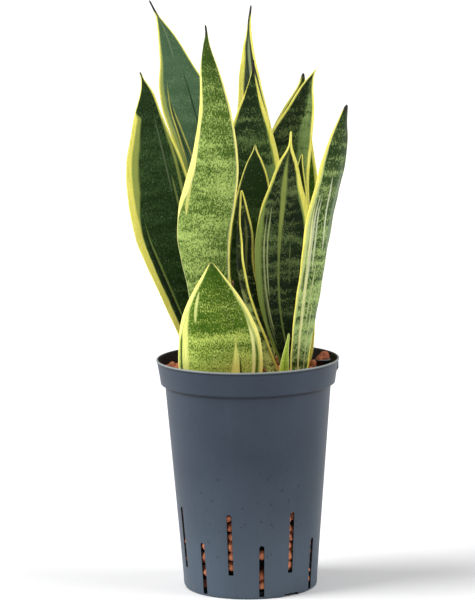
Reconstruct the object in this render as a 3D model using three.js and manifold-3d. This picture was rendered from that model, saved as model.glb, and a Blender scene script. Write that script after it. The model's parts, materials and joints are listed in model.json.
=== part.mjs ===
// A variegated snake plant growing in expanded clay in a slotted culture pot.
// Millimetres, +Z up. The origin is on the pot's axis, on the surface it stands on.
// The front of the pot is -Y. Bearings are in degrees from the front, towards +X.

import * as THREE from 'three';
import { mergeVertices } from 'three/addons/utils/BufferGeometryUtils.js';
import Module from 'manifold-3d';

const wasm = await Module();
wasm.setup();

// Gap between pieces that touch.
const CLEARANCE = 0.3;

// Culture pot
const POT_HEIGHT = 190;
const RIM_RADIUS = 75;
const FOOT_RADIUS = 54.8;
const BAND_STEP = 3.6;
const WALL = 1.7;
const BAND_HEIGHT = 20;
const BAND_TAPER = 3.4;
const BAND_CHAMFER = 1.4;
const LIP_HEIGHT = 1.8;
const LIP_STEP = 0.5;
const EDGE_ROUND = 0.4;
const FOOT_ROUND = 2.4;
const FOOT_ROUND_CORNER = 0.3;
const FLOOR_THICKNESS = 2.2;
const FLOOR_LIFT = 2.4;
const FOOT_RING_WIDTH = 6;
const CENTRE_PAD_RADIUS = 12;

// Slots in the pot's wall, in two alternating rows
const SLOT_COUNT = 14;
const SLOT_WIDTH = 4.2;
const SLOT_BEARING = -16.5;
const HIGH_SLOT = { bottom: 20, top: 71 };
const LOW_SLOT = { bottom: 2, top: 45 };

// Notches that let water out under the foot ring
const NOTCH_COUNT = 3;
const NOTCH_WIDTH = 16;
const NOTCH_BEARING = 37;

// Clay granules
const FILL_DROP = 11;
const FILL_HEAP = 2.5;
const GRANULE_SIZE = 9;
const LUMP_GRANULES = 2;

// Cup of the water gauge, against the wall on the right
const CUP_BEARING = 96.5;
const CUP_DROP = 3;
const CUP_HEIGHT = 14;
const CUP_RADIUS = 5.8;
const CUP_WALL = 0.9;
const CUP_DEPTH = 9;
const FLANGE_RADIUS = 7;
const FLANGE_HEIGHT = 1.2;

// Rhizomes and the leaves that stand on them
const PLANTING_DEPTH = 30;
const RHIZOME_RADIUS = 8;
const BLADE_THICKNESS = 3.4;
const BASE_THICKENING = 1.2;
const TIP_THINNING = 0.5;
const MARGIN_THICKNESS = 1;
const MARGIN_SHARE = 0.7;
const NARROW_TAPER = 0.2;

// Fineness of the meshes
const POT_SEGMENTS = SLOT_COUNT * 4;
const CUP_SEGMENTS = 16;
const BLADE_COLUMNS = 4;
const RING_SPACING = 30;
const FILL_RINGS = 7;
const FILL_SEGMENTS = 30;

const group = new THREE.Group();

function addPiece(name, geometry, color, roughness) {
  const material = new THREE.MeshStandardMaterial({ color, roughness, metalness: 0 });
  const mesh = new THREE.Mesh(geometry, material);
  mesh.name = name;
  group.add(mesh);
  return mesh;
}

// Turns a closed geometry into a solid that can be joined and cut.
function solidOf(geometry) {
  const bare = geometry.clone();
  bare.deleteAttribute('normal');
  bare.deleteAttribute('uv');
  const merged = mergeVertices(bare, 1e-4);
  return new wasm.Manifold(new wasm.Mesh({
    numProp: 3,
    vertProperties: new Float32Array(merged.attributes.position.array),
    triVerts: new Uint32Array(merged.index.array),
  }));
}

function geometryOf(solid) {
  const mesh = solid.getMesh();
  const geometry = new THREE.BufferGeometry();
  geometry.setAttribute('position', new THREE.BufferAttribute(mesh.vertProperties, 3));
  geometry.setIndex(new THREE.BufferAttribute(mesh.triVerts, 1));
  geometry.computeVertexNormals();
  return geometry;
}

// A profile of [radius, height] pairs turned around the Z axis.
function turned(profile, segments) {
  const points = profile.map(([radius, height]) => new THREE.Vector2(radius, height));
  const geometry = new THREE.LatheGeometry(points, segments);
  geometry.rotateX(Math.PI / 2);
  return geometry;
}

// Places a geometry made at the front of the pot at a bearing around its axis.
function atBearing(geometry, degrees) {
  return geometry.rotateZ(THREE.MathUtils.degToRad(degrees));
}

// ---------------------------------------------------------------- culture pot

const BAND_BOTTOM = POT_HEIGHT - BAND_HEIGHT;
const BAND_LOW_RADIUS = RIM_RADIUS - BAND_TAPER;
const BODY_TOP_RADIUS = BAND_LOW_RADIUS - BAND_STEP;
const FLOOR_TOP = FLOOR_LIFT + FLOOR_THICKNESS;
const WALL_SLOPE = (BODY_TOP_RADIUS - FOOT_RADIUS) / (BAND_BOTTOM - BAND_CHAMFER - FOOT_ROUND);

function outerRadiusOfBody(height) {
  return FOOT_RADIUS + WALL_SLOPE * (height - FOOT_ROUND);
}

// The pot's inside, from its floor to its rim, as [radius, height] pairs.
const LEDGE = BAND_BOTTOM - BAND_CHAMFER + WALL / 2;
const SHOULDER = LEDGE + BAND_CHAMFER + WALL / 2;
const INSIDE = [
  [outerRadiusOfBody(FLOOR_TOP) - WALL, FLOOR_TOP],
  [outerRadiusOfBody(LEDGE) - WALL, LEDGE],
  [BAND_LOW_RADIUS - WALL, SHOULDER],
  [RIM_RADIUS - WALL - LIP_STEP, POT_HEIGHT],
];

// The widest radius that clears the inside at a height.
function clearRadius(height) {
  let i = 0;
  while (i < INSIDE.length - 2 && INSIDE[i + 1][1] < height) {
    i += 1;
  }
  const [[lowRadius, low], [highRadius, high]] = [INSIDE[i], INSIDE[i + 1]];
  return lowRadius + ((highRadius - lowRadius) * (height - low)) / (high - low) - CLEARANCE;
}

function potShell() {
  const outside = [
    [0, 0],
    [CENTRE_PAD_RADIUS, 0],
    [CENTRE_PAD_RADIUS, FLOOR_LIFT],
    [FOOT_RADIUS - FOOT_ROUND - FOOT_RING_WIDTH, FLOOR_LIFT],
    [FOOT_RADIUS - FOOT_ROUND - FOOT_RING_WIDTH, 0],
    [FOOT_RADIUS - FOOT_ROUND, 0],
    [FOOT_RADIUS - FOOT_ROUND * FOOT_ROUND_CORNER, FOOT_ROUND * FOOT_ROUND_CORNER],
    [FOOT_RADIUS, FOOT_ROUND],
    [BODY_TOP_RADIUS, BAND_BOTTOM - BAND_CHAMFER],
    [BAND_LOW_RADIUS - EDGE_ROUND, BAND_BOTTOM],
    [BAND_LOW_RADIUS, BAND_BOTTOM + EDGE_ROUND],
    [RIM_RADIUS - LIP_STEP, POT_HEIGHT - LIP_HEIGHT],
    [RIM_RADIUS, POT_HEIGHT - LIP_HEIGHT + EDGE_ROUND],
    [RIM_RADIUS, POT_HEIGHT - EDGE_ROUND],
    [RIM_RADIUS - EDGE_ROUND, POT_HEIGHT],
  ];
  return turned([...outside, ...INSIDE.toReversed(), [0, FLOOR_TOP]], POT_SEGMENTS);
}

// One slot: straight sides, a rounded top and a flat bottom, cut through the wall.
function slotCutter({ bottom, top }) {
  const half = SLOT_WIDTH / 2;
  const shape = new THREE.Shape();
  shape.moveTo(-half, bottom);
  shape.lineTo(half, bottom);
  shape.lineTo(half, top - half);
  shape.absarc(0, top - half, half, 0, Math.PI, false);
  shape.closePath();
  const inner = outerRadiusOfBody(bottom) - 3 * WALL;
  const outer = outerRadiusOfBody(top) + 2 * WALL;
  const geometry = new THREE.ExtrudeGeometry(shape, {
    depth: outer - inner,
    bevelEnabled: false,
    curveSegments: 4,
  });
  geometry.rotateX(Math.PI / 2);
  geometry.translate(0, -inner, 0);
  return geometry;
}

function notchCutter() {
  const length = FOOT_RING_WIDTH + 3 * FOOT_ROUND;
  const geometry = new THREE.BoxGeometry(NOTCH_WIDTH, length, 2 * FLOOR_LIFT);
  geometry.translate(0, -(FOOT_RADIUS + FOOT_ROUND / 2 - length / 2), 0);
  return geometry;
}

let pot = solidOf(potShell());
for (let i = 0; i < SLOT_COUNT; i += 1) {
  const row = i % 2 === 0 ? HIGH_SLOT : LOW_SLOT;
  const bearing = SLOT_BEARING + (i * 360) / SLOT_COUNT;
  pot = pot.subtract(solidOf(atBearing(slotCutter(row), bearing)));
}
for (let i = 0; i < NOTCH_COUNT; i += 1) {
  const bearing = NOTCH_BEARING + (i * 360) / NOTCH_COUNT;
  pot = pot.subtract(solidOf(atBearing(notchCutter(), bearing)));
}
addPiece('culture_pot', geometryOf(pot), 0x4d5560, 0.6);

// --------------------------------------------------------------------- leaves

const LEAF_BASE = POT_HEIGHT - PLANTING_DEPTH;

// Each leaf has stations from its base to its tip: [height, x, width], with height above
// LEAF_BASE and x the middle of the line between the margins. That line's y runs from the
// first value of y to the second, mostly near the tip where bend is large, and its angle
// to the X axis, in degrees, runs evenly from the first value of turn to the second.
// cup is the depth of the blade's channel as a share of its width: positive hollows the
// front face, negative the back one. fold 2 is a round channel, less is a sharper keel.
const LEAVES = {
  leaf_front: {
    y: [-33, -47], bend: 3, turn: [3, -4], cup: -0.2, fold: 2, color: 0x6f9440,
    stations: [
      [0, -22, 42], [10, -22, 56], [22, -22, 67], [50, -22.5, 66],
      [70, -24.5, 56], [90, -26, 36], [109, -27.5, 11], [115.5, -28.5, 2],
    ],
  },
  leaf_far_left: {
    y: [0, 22], bend: 1, turn: [10, 20], cup: 0.1, fold: 1.7, color: 0x2f4a2a,
    stations: [
      [0, -23, 26], [20, -28, 33], [50, -38, 38], [90, -50, 50],
      [130, -62, 59], [160, -69, 56], [190, -74, 46], [230, -78.5, 21],
      [248, -79.5, 9.5], [258, -82.5, 2.6], [264, -84.5, 1.5],
    ],
  },
  leaf_centre_left: {
    y: [-17, -29], bend: 1.6, turn: [-6, -12], cup: -0.08, fold: 2, color: 0x7a9a58,
    stations: [
      [0, -28, 22], [20, -28, 27], [60, -29, 31], [92, -31, 35],
      [132, -34.5, 43], [157, -31.5, 46], [192, -25, 39.5], [232, -23.3, 27],
      [272, -27, 13.2], [286, -28.5, 5.6], [296, -29, 1.9], [304.5, -30.3, 1.3],
    ],
  },
  leaf_back_left: {
    y: [30, 50], bend: 1.4, turn: [10, 14], cup: 0.1, fold: 1.7, color: 0x4d6b4c,
    stations: [
      [0, -9, 24], [40, -9, 31], [90, -11, 36], [140, -16.5, 42],
      [189, -28.5, 45], [228, -43, 45], [247.5, -49, 40], [267.5, -55, 27],
      [287.5, -61.5, 15.5], [300, -67, 6.6], [306, -70, 2.6], [318, -76, 1.5],
    ],
  },
  leaf_small_centre: {
    y: [5, 12], bend: 1, turn: [4, 10], cup: 0.08, fold: 2, color: 0x2d3f29,
    stations: [
      [0, 2, 19], [30, 2, 23], [70, 2, 27], [105, 2.5, 34],
      [130, 4, 34], [155, 6, 30], [175, 7.5, 23], [190, 8, 13],
      [199, 8.3, 4], [204, 8.5, 1.5],
    ],
  },
  leaf_centre: {
    y: [18, 27], bend: 1.4, turn: [0, 6], cup: 0.09, fold: 1.8, color: 0x3a5230,
    stations: [
      [0, 8, 23], [30, 8, 29], [80, 8, 36], [130, 8, 42],
      [169, 8, 45], [189, 7, 43], [209, 5.5, 37], [228.5, 5.6, 24.5],
      [248.5, 7, 10.5], [262.5, 7.6, 3], [272.5, 8, 1.5],
    ],
  },
  leaf_back_centre: {
    y: [41, 58], bend: 1.6, turn: [-6, -24], cup: 0.12, fold: 1.6, color: 0x4b5a48,
    stations: [
      [0, 8, 20], [40, 8, 26], [100, 8, 31], [178, 10, 32],
      [208, 9, 29.5], [228, 7.2, 25], [247.5, 5.4, 20], [267, 4.3, 13],
      [279, 4.4, 8.8], [289, 5.4, 4.8], [301, 6, 2.4], [312, 7.2, 1.4],
    ],
  },
  leaf_clasping: {
    y: [-9, -21], bend: 5, turn: [98, 52], cup: 0.42, fold: 2.2, color: 0x4f6f3c,
    stations: [
      [0, 31.5, 20], [30, 22.5, 21], [50, 16, 21], [70, 10, 21],
      [90, 5, 21.5], [110, 2, 21.5], [130, 1.5, 20], [150, -1, 12.5],
      [162, -2, 6], [170.5, -2.5, 1.5],
    ],
  },
  leaf_centre_right: {
    y: [-7, -19], bend: 2, turn: [6, -3], cup: 0.1, fold: 2, color: 0x3f5a33,
    stations: [
      [0, 36, 14], [15, 36, 16], [30, 34.5, 20], [45, 31.8, 25.5],
      [60, 29.4, 31], [80, 27.7, 37], [101, 27.4, 41], [126, 28.5, 43],
      [157, 31.6, 37.5], [171, 32.4, 28], [191, 34.3, 16],
      [205, 36.4, 3.6], [217.5, 37.2, 1.5],
    ],
  },
  leaf_right: {
    y: [-23, -43], bend: 1.6, turn: [24, 38], cup: -0.16, fold: 1.6, color: 0x6d8a50,
    stations: [
      [0, 41, 13.5], [30, 42, 16.5], [50, 44.2, 19], [90, 50.2, 22],
      [131, 56.7, 24.5], [152, 60.2, 25.4], [172, 65.7, 25], [192.5, 71, 23.4],
      [213, 75.2, 18], [233, 79.8, 7.2], [240.5, 82, 1.9],
    ],
  },
  leaf_sprout: {
    y: [-42, -45], bend: 1, turn: [0, 0], cup: -0.15, fold: 2, color: 0x7d9a55,
    stations: [
      [0, 29, 6.5], [20, 29.2, 8], [30, 29.4, 7.3],
      [42, 30.8, 4.2], [52, 32.6, 1.9], [57, 33.2, 1.3],
    ],
  },
  leaf_hidden_right: {
    y: [7, 10], bend: 1, turn: [0, -14], cup: 0.1, fold: 2, color: 0x35492d,
    stations: [
      [0, 37, 11], [40, 37.5, 14], [90, 39.5, 17], [130, 42, 17],
      [160, 43.5, 13.5], [180, 44.6, 7], [191, 45.6, 3], [196, 46.6, 1.5],
    ],
  },
  leaf_back_right: {
    y: [24, 38], bend: 1.6, turn: [-4, -10], cup: 0.2, fold: 1.2, color: 0x445a3a,
    stations: [
      [0, 40, 20], [40, 39, 26], [90, 37, 32], [140, 35, 36],
      [169, 34, 37], [188.5, 35, 37], [208, 38, 34.5], [227.5, 45.6, 22.5],
      [245.5, 51.3, 9.7], [254.5, 56, 3], [258.5, 58.6, 1.5],
    ],
  },
  leaf_rear_right: {
    y: [38, 64], bend: 1.2, turn: [0, 16], cup: 0.1, fold: 1.8, color: 0x4c6640,
    stations: [
      [0, 41, 13], [12, 42, 17], [30, 43, 24], [60, 43, 28],
      [90, 42, 32], [138, 41, 38.5], [168, 40.5, 40.5], [187.5, 38, 41.5],
      [207, 38.6, 34.5], [226.5, 43.4, 23], [244.5, 48.2, 7.8], [254.5, 49.5, 1.5],
    ],
  },
};

// Value of one column of the stations at a height, on a smooth curve through them.
function stationValue(stations, column, height) {
  const last = stations.length - 1;
  let i = 0;
  while (i < last - 1 && stations[i + 1][0] < height) {
    i += 1;
  }
  const slopeAt = (k) => {
    const low = stations[Math.max(k - 1, 0)];
    const high = stations[Math.min(k + 1, last)];
    return (high[column] - low[column]) / (high[0] - low[0]);
  };
  const span = stations[i + 1][0] - stations[i][0];
  const t = (height - stations[i][0]) / span;
  const t2 = t * t;
  const t3 = t2 * t;
  return (2 * t3 - 3 * t2 + 1) * stations[i][column]
    + (t3 - 2 * t2 + t) * span * slopeAt(i)
    + (3 * t2 - 2 * t3) * stations[i + 1][column]
    + (t3 - t2) * span * slopeAt(i + 1);
}

const TANGENT_STEP = 0.02;

// One level section of a blade: its front face from the left margin to the right one,
// then its back face from right to left. grow widens it all round.
function bladeSection(leaf, height, grow) {
  const share = height / leaf.stations.at(-1)[0];
  const centre = new THREE.Vector2(
    stationValue(leaf.stations, 1, height),
    THREE.MathUtils.lerp(...leaf.y, share ** leaf.bend),
  );
  const width = stationValue(leaf.stations, 2, height);
  const turn = THREE.MathUtils.degToRad(THREE.MathUtils.lerp(...leaf.turn, share));
  const across = new THREE.Vector2(Math.cos(turn), Math.sin(turn));
  const rearward = new THREE.Vector2(-across.y, across.x);
  const thickest = BLADE_THICKNESS * (1 - TIP_THINNING * share) + BASE_THICKENING * (1 - share) ** 3;
  const middle = Math.min(thickest, MARGIN_THICKNESS + NARROW_TAPER * width);
  const margin = Math.min(MARGIN_THICKNESS, MARGIN_SHARE * width);
  const place = (u) => {
    const deep = leaf.cup * width * (1 - Math.abs(u) ** leaf.fold);
    return centre.clone()
      .addScaledVector(across, u * width / 2)
      .addScaledVector(rearward, deep);
  };
  const front = [];
  const back = [];
  for (let j = 0; j <= BLADE_COLUMNS; j += 1) {
    const u = (2 * j) / BLADE_COLUMNS - 1;
    const point = place(u);
    const before = place(Math.max(u - TANGENT_STEP, -1));
    const along = place(Math.min(u + TANGENT_STEP, 1)).sub(before).normalize();
    const normal = new THREE.Vector2(-along.y, along.x);
    const half = (margin + (middle - margin) * (1 - u ** 2)) / 2 + grow;
    if (Math.abs(u) === 1) {
      point.addScaledVector(along, grow * u);
    }
    front.push(point.clone().addScaledVector(normal, -half));
    back.push(point.clone().addScaledVector(normal, half));
  }
  return [...front, ...back.reverse()];
}

// A closed solid through level rings of equal length, each half front and half back.
function loft(rings) {
  const count = rings[0].points.length;
  const half = count / 2;
  const positions = [];
  const index = [];
  for (const { height, points } of rings) {
    for (const point of points) {
      positions.push(point.x, point.y, height);
    }
  }
  for (let r = 0; r < rings.length - 1; r += 1) {
    for (let k = 0; k < count; k += 1) {
      const a = r * count + k;
      const b = r * count + ((k + 1) % count);
      index.push(a, b, b + count, a, b + count, a + count);
    }
  }
  const top = (rings.length - 1) * count;
  for (let k = 0; k < half - 1; k += 1) {
    const across = count - 1 - k;
    index.push(k, across, across - 1, k, across - 1, k + 1);
    index.push(top + k, top + across - 1, top + across, top + k, top + k + 1, top + across - 1);
  }
  const geometry = new THREE.BufferGeometry();
  geometry.setAttribute('position', new THREE.Float32BufferAttribute(positions, 3));
  geometry.setIndex(index);
  geometry.computeVertexNormals();
  return geometry;
}

// Heights of a blade's rings: its stations, with more rings evenly between far ones.
function ringHeights(stations) {
  const heights = [];
  for (let i = 0; i < stations.length - 1; i += 1) {
    const steps = Math.ceil((stations[i + 1][0] - stations[i][0]) / RING_SPACING);
    for (let s = 0; s < steps; s += 1) {
      heights.push(THREE.MathUtils.lerp(stations[i][0], stations[i + 1][0], s / steps));
    }
  }
  heights.push(stations.at(-1)[0]);
  return heights;
}

function blade(leaf) {
  return loft(ringHeights(leaf.stations).map((height) => ({
    height: LEAF_BASE + height,
    points: bladeSection(leaf, height, 0),
  })));
}

// The space that a blade takes in the granules, wider than it by the clearance. It reaches
// down into the rhizome's own space, and up to the first ring above the rim.
function bladeSocket(leaf) {
  const heights = ringHeights(leaf.stations);
  const buried = heights.filter((height, i) => i === 0 || heights[i - 1] < PLANTING_DEPTH);
  return loft(buried.map((height, i) => ({
    height: LEAF_BASE + height - (i === 0 ? 2 * CLEARANCE : 0),
    points: bladeSection(leaf, height, CLEARANCE),
  })));
}

for (const [name, leaf] of Object.entries(LEAVES)) {
  addPiece(name, blade(leaf), leaf.color, 0.45);
}

// ------------------------------------------------------------------- rhizomes

// Each runs level under the bases of its own shoots, from one [x, y] to another.
const RHIZOMES = {
  rhizome_left: [[-24, -38], [-15, 26]],
  rhizome_middle: [[8, 38], [3, 6]],
  rhizome_right: [[29, -40], [35, -8]],
  rhizome_rear_right: [[37, 12], [41, 36]],
};

function rhizome([from, to], grow) {
  const length = Math.hypot(to[0] - from[0], to[1] - from[1]);
  const geometry = new THREE.CapsuleGeometry(RHIZOME_RADIUS + grow, length, 4, 12, 1);
  geometry.rotateZ(Math.atan2(to[1] - from[1], to[0] - from[0]) - Math.PI / 2);
  geometry.translate(
    (from[0] + to[0]) / 2,
    (from[1] + to[1]) / 2,
    LEAF_BASE - CLEARANCE - RHIZOME_RADIUS,
  );
  return geometry;
}

for (const [name, run] of Object.entries(RHIZOMES)) {
  addPiece(name, rhizome(run, 0), 0xb08a4e, 0.8);
}

// ------------------------------------------------------------------ gauge cup

function gaugeCup() {
  const bore = CUP_RADIUS - CUP_WALL;
  return turned([
    [0, 0],
    [CUP_RADIUS, 0],
    [CUP_RADIUS, CUP_HEIGHT - FLANGE_HEIGHT],
    [FLANGE_RADIUS, CUP_HEIGHT - FLANGE_HEIGHT],
    [FLANGE_RADIUS, CUP_HEIGHT],
    [bore, CUP_HEIGHT],
    [bore, CUP_HEIGHT - CUP_DEPTH],
    [0, CUP_HEIGHT - CUP_DEPTH],
  ], CUP_SEGMENTS);
}

function cupSocket() {
  return turned([
    [0, -CLEARANCE],
    [CUP_RADIUS + CLEARANCE, -CLEARANCE],
    [CUP_RADIUS + CLEARANCE, CUP_HEIGHT - FLANGE_HEIGHT - CLEARANCE],
    [FLANGE_RADIUS + CLEARANCE, CUP_HEIGHT - FLANGE_HEIGHT - CLEARANCE],
    [FLANGE_RADIUS + CLEARANCE, CUP_HEIGHT + GRANULE_SIZE],
    [0, CUP_HEIGHT + GRANULE_SIZE],
  ], CUP_SEGMENTS);
}

const CUP_TOP = POT_HEIGHT - CUP_DROP;
const CUP_BOTTOM = CUP_TOP - CUP_HEIGHT;
const CUP_REACH = Math.min(clearRadius(CUP_BOTTOM) - CUP_RADIUS, clearRadius(CUP_TOP) - FLANGE_RADIUS);
const CUP_X = CUP_REACH * Math.sin(THREE.MathUtils.degToRad(CUP_BEARING));
const CUP_Y = -CUP_REACH * Math.cos(THREE.MathUtils.degToRad(CUP_BEARING));
addPiece('gauge_cup', gaugeCup(), 0x17181a, 0.5).position.set(CUP_X, CUP_Y, CUP_BOTTOM);

// -------------------------------------------------------------- clay granules

const PEBBLE_DENT = 0.06;

// A rough pebble about a unit in radius, the same each time for the same seed.
function pebble(seed) {
  const ball = new THREE.IcosahedronGeometry(1, 1);
  ball.deleteAttribute('normal');
  ball.deleteAttribute('uv');
  const geometry = mergeVertices(ball, 1e-4);
  const position = geometry.attributes.position;
  const point = new THREE.Vector3();
  for (let i = 0; i < position.count; i += 1) {
    point.fromBufferAttribute(position, i);
    const dent = Math.sin(seed + 5 * point.x) * Math.sin(2 * seed + 4 * point.y) * Math.sin(5 * point.z);
    point.multiplyScalar(1 - PEBBLE_DENT + PEBBLE_DENT * dent);
    position.setXYZ(i, point.x, point.y, point.z);
  }
  geometry.computeVertexNormals();
  return geometry;
}

// Two granules side by side in the cup's mouth share its bore, one higher than the other.
const CUP_BORE = CUP_RADIUS - CUP_WALL - CLEARANCE;
const CUP_GRANULE = { x: CUP_BORE / 2 - CLEARANCE / 4, y: 0.8 * CUP_BORE, z: 0.55 * CUP_DEPTH };
const CUP_GRANULES = [
  { name: 'cup_granule_left', side: -1, rise: 1, seed: 1 },
  { name: 'cup_granule_right', side: 1, rise: 0, seed: 4 },
];
for (const { name, side, rise, seed } of CUP_GRANULES) {
  const mesh = addPiece(name, pebble(seed), 0xa85f45, 0.9);
  mesh.scale.copy(CUP_GRANULE);
  mesh.position.set(CUP_X + side * (CUP_GRANULE.x + CLEARANCE / 2), CUP_Y, CUP_TOP + rise);
}

const FILL_TOP = POT_HEIGHT - FILL_DROP;

// Height of the granules' lumpy surface at a place: crossed waves, each lump a few granules wide.
function fillHeight(x, y) {
  const pace = (2 * Math.PI) / (LUMP_GRANULES * GRANULE_SIZE);
  const lumps = Math.sin(x * pace) * Math.cos(y * pace) + Math.sin((x + 2 * y) * pace / 2) / 2;
  return FILL_TOP + (FILL_HEAP / 2) * lumps;
}

// The granules as one mass that fills the pot up to a lumpy surface.
function granuleMass() {
  const floor = FLOOR_TOP + CLEARANCE;
  const edge = FILL_TOP - FILL_HEAP;
  const levels = [floor, LEDGE, SHOULDER + CLEARANCE, edge];
  const rings = levels.map((height) => ({ radius: clearRadius(height), height: () => height }));
  for (let r = FILL_RINGS; r > 0; r -= 1) {
    const radius = (clearRadius(edge) - FILL_HEAP) * (r / FILL_RINGS);
    rings.push({ radius, height: fillHeight });
  }
  const positions = [0, 0, floor];
  for (const ring of rings) {
    for (let k = 0; k < FILL_SEGMENTS; k += 1) {
      const angle = (2 * Math.PI * k) / FILL_SEGMENTS;
      const x = ring.radius * Math.cos(angle);
      const y = ring.radius * Math.sin(angle);
      positions.push(x, y, ring.height(x, y));
    }
  }
  positions.push(0, 0, fillHeight(0, 0));
  const index = [];
  const crown = 1 + rings.length * FILL_SEGMENTS;
  const lastRing = 1 + (rings.length - 1) * FILL_SEGMENTS;
  for (let k = 0; k < FILL_SEGMENTS; k += 1) {
    const next = (k + 1) % FILL_SEGMENTS;
    index.push(0, 1 + next, 1 + k);
    index.push(lastRing + k, lastRing + next, crown);
    for (let r = 0; r < rings.length - 1; r += 1) {
      const a = 1 + r * FILL_SEGMENTS + k;
      const b = 1 + r * FILL_SEGMENTS + next;
      index.push(a, b, b + FILL_SEGMENTS, a, b + FILL_SEGMENTS, a + FILL_SEGMENTS);
    }
  }
  const geometry = new THREE.BufferGeometry();
  geometry.setAttribute('position', new THREE.Float32BufferAttribute(positions, 3));
  geometry.setIndex(index);
  return geometry;
}

let fill = solidOf(granuleMass());
for (const leaf of Object.values(LEAVES)) {
  fill = fill.subtract(solidOf(bladeSocket(leaf)));
}
for (const run of Object.values(RHIZOMES)) {
  fill = fill.subtract(solidOf(rhizome(run, CLEARANCE)));
}
fill = fill.subtract(solidOf(cupSocket().translate(CUP_X, CUP_Y, CUP_BOTTOM)));
addPiece('clay_granules', geometryOf(fill), 0xa85f45, 0.9);

export default group;
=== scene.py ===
"""A variegated snake plant growing in expanded clay in a slotted culture pot.

Metres, +Z up, the pot's front at -Y. Sizes and places within a piece are in millimetres.
"""

import json
import math
import random

import bmesh
import bpy
import numpy as np
from mathutils import Euler, Matrix, Vector, noise

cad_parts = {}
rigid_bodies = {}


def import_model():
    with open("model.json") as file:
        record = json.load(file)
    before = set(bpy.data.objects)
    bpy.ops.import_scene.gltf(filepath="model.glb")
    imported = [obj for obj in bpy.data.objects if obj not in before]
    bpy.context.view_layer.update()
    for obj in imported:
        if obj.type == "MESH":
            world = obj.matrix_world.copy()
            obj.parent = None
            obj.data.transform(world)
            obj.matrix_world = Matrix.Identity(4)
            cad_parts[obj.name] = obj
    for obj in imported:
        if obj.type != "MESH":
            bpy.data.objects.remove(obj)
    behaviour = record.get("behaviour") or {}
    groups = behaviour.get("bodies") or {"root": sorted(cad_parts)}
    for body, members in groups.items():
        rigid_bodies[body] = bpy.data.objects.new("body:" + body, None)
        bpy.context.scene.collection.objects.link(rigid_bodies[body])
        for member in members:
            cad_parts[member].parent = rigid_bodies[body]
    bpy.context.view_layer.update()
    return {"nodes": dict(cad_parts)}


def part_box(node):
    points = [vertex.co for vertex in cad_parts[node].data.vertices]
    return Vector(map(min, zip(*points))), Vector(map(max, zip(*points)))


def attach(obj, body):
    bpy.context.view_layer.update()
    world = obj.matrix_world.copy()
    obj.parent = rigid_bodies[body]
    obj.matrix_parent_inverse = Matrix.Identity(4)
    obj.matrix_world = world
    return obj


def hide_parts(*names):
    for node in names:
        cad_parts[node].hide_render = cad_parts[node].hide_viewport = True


for leftover in list(bpy.data.objects):
    bpy.data.objects.remove(leftover)
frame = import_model()

MM = 0.001
BODY = "root"


def rgb(red, green, blue):
    """A colour given as 0 to 255, in the linear values that the nodes use."""
    def linear(value):
        value /= 255
        return value / 12.92 if value <= 0.04045 else ((value + 0.055) / 1.055) ** 2.4
    return (linear(red), linear(green), linear(blue), 1)


# ---------- node looks


class Value:
    """A node's output that can be added, subtracted, multiplied and divided."""

    def __init__(self, look, socket):
        self.look = look
        self.socket = socket

    def __abs__(self):
        return self.look.math("ABSOLUTE", self)


def operator_method(operation, swapped):
    """The method of Value for one operator, which makes that operation's Math node."""
    def method(value, other):
        pair = (other, value) if swapped else (value, other)
        return value.look.math(operation, *pair)
    return method


for sign, operation in {
    "add": "ADD", "sub": "SUBTRACT", "mul": "MULTIPLY", "truediv": "DIVIDE",
}.items():
    setattr(Value, f"__{sign}__", operator_method(operation, False))
    setattr(Value, f"__r{sign}__", operator_method(operation, True))


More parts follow.
